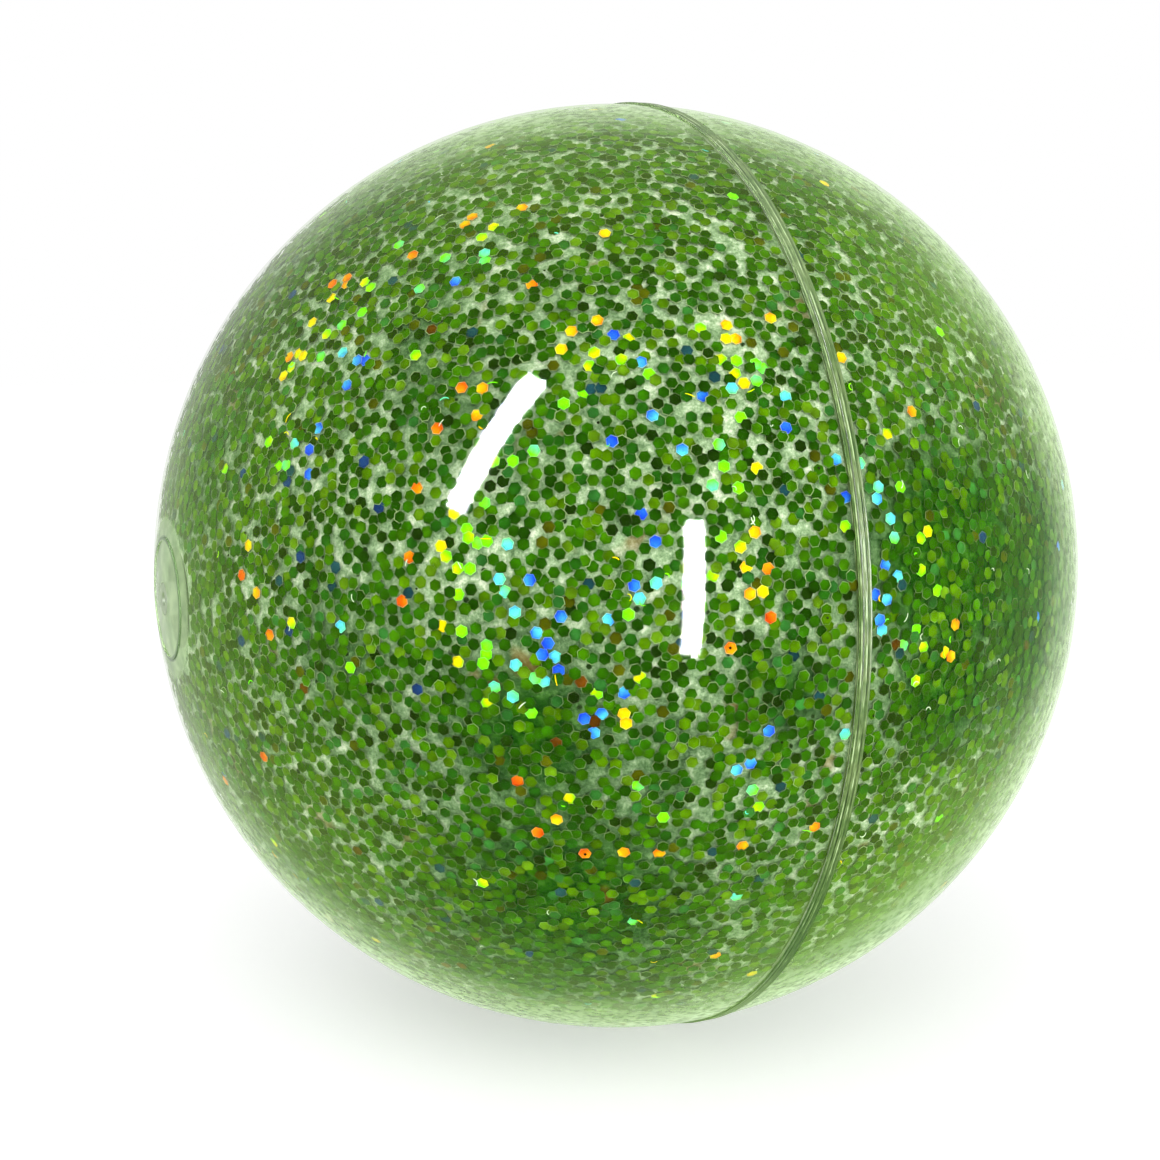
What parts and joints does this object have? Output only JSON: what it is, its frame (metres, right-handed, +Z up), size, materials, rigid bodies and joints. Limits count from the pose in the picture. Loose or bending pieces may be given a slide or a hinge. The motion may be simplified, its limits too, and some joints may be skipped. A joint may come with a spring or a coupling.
{
  "type": "inflatable play ball",
  "caption": "Clear hollow vinyl play ball with green holographic hexagon glitter in its wall, moulded in two halves under a seam strap, with a needle valve for inflation.",
  "frame": {"origin": "centre of the ball", "axes": "X along the ball's moulding axis, with the valve pole at -X and the seam in the plane x = 0; +Z up, with the seam standing upright; the picture's front is the -Y side"},
  "size_m": [0.216, 0.2168, 0.2168],
  "materials": {
    "clear_vinyl": "clear soft vinyl with a faint green cast, glossy",
    "plug_vinyl": "soft translucent, satin",
    "glitter": "green holographic film"
  },
  "bodies": {
    "root": {"valve_half_shell": "clear_vinyl", "plain_half_shell": "clear_vinyl", "seam_strap": "clear_vinyl", "valve_socket": "clear_vinyl", "valve_plug": "plug_vinyl", "valve_half_glitter": "glitter", "plain_half_glitter": "glitter"}
  },
  "joints": []
}
